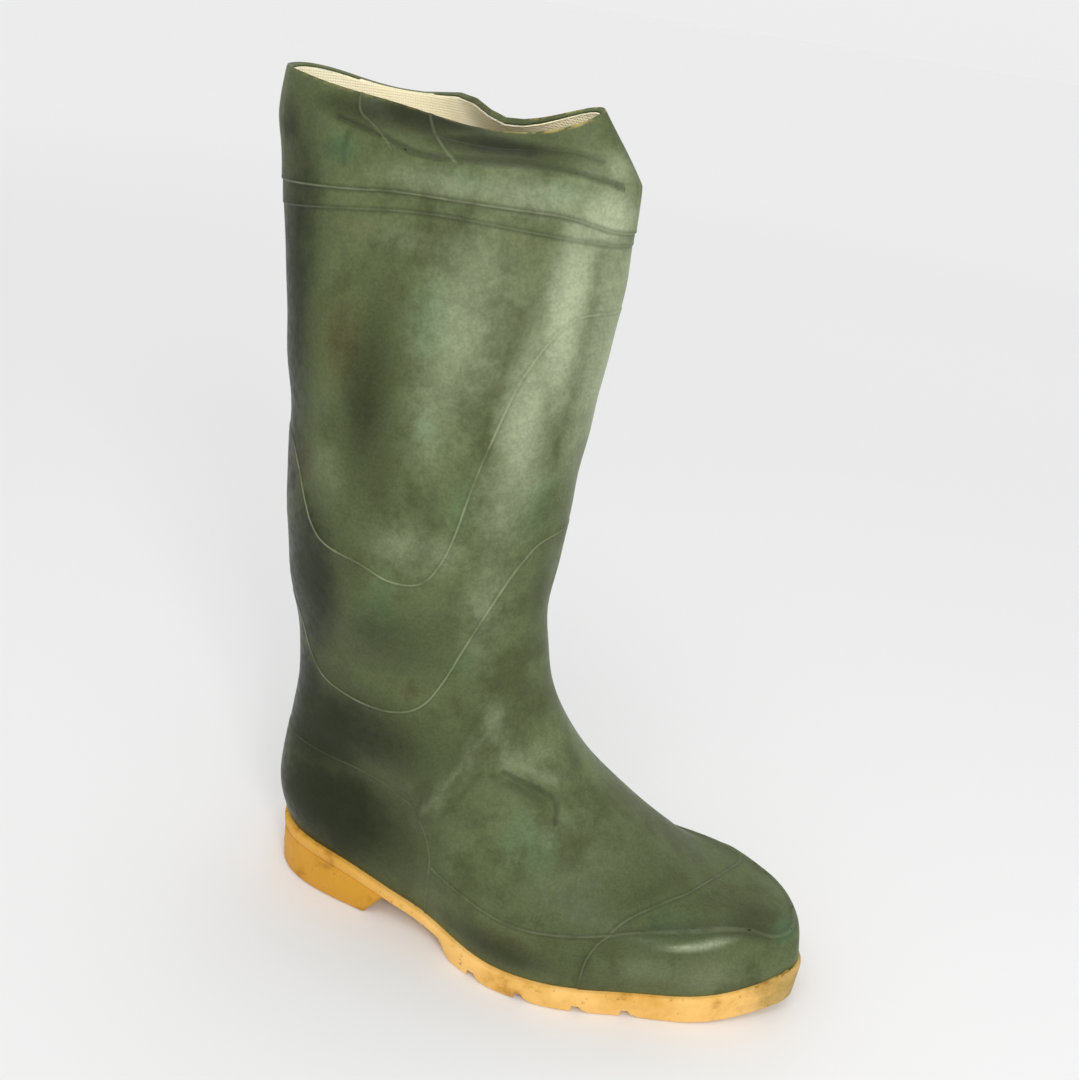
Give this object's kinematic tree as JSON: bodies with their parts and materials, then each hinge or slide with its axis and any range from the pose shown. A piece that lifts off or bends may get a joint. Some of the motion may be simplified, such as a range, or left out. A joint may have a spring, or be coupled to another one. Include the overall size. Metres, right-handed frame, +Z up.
{
  "type": "wellington boot",
  "caption": "Tall rubber wellington boot for the right foot, with a squashed collar, a gum sole with heel and cross-grooved tread, and a pale lining.",
  "frame": {"origin": "middle of the bottom of the boot's box, on the floor it stands on", "axes": "+X from heel to toe, +Y to the inner side of the foot, +Z up the leg"},
  "size_m": [0.321, 0.117, 0.4261],
  "materials": {
    "green_rubber": "satin, worn and mottled",
    "gum_sole": "matte, stained",
    "heel_rubber": "matte, dirty",
    "cream_lining": "knitted cotton, matte"
  },
  "bodies": {
    "root": {"upper": "green_rubber", "outsole": "gum_sole", "heel": "heel_rubber", "insole": "cream_lining"}
  },
  "joints": []
}
